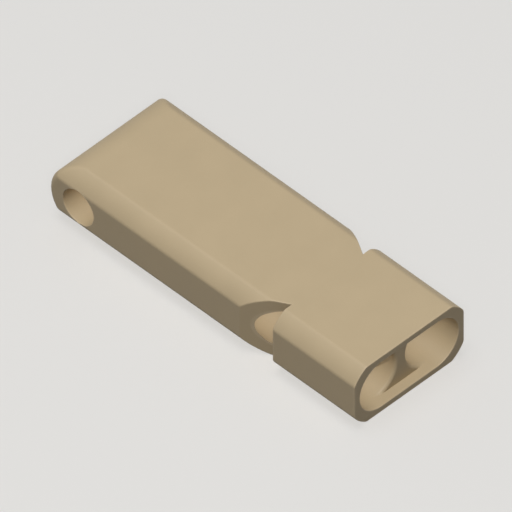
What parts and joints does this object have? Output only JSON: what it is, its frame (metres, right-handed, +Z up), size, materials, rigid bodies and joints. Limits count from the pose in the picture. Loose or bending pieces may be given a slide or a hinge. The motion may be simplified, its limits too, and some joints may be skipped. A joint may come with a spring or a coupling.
{
  "type": "emergency whistle",
  "caption": "Flat pealess emergency whistle: parallel blind tubes behind a shared mouth, each with a fipple block and a sharp-lipped side window, and a cross hole for a lanyard.",
  "frame": {"origin": "under the middle of the body, on the flat face that it lies on", "axes": "+X along the body and out of the mouth, +Y across the tubes towards the low (longer) one, +Z up through the body's thin side"},
  "size_m": [0.056, 0.02, 0.01],
  "materials": {
    "khaki_plastic": "fine even matte of a moulded plastic, khaki, coloured all through"
  },
  "bodies": {
    "root": {"body": "khaki_plastic", "fipple_block_left": "khaki_plastic", "fipple_block_right": "khaki_plastic"}
  },
  "joints": []
}
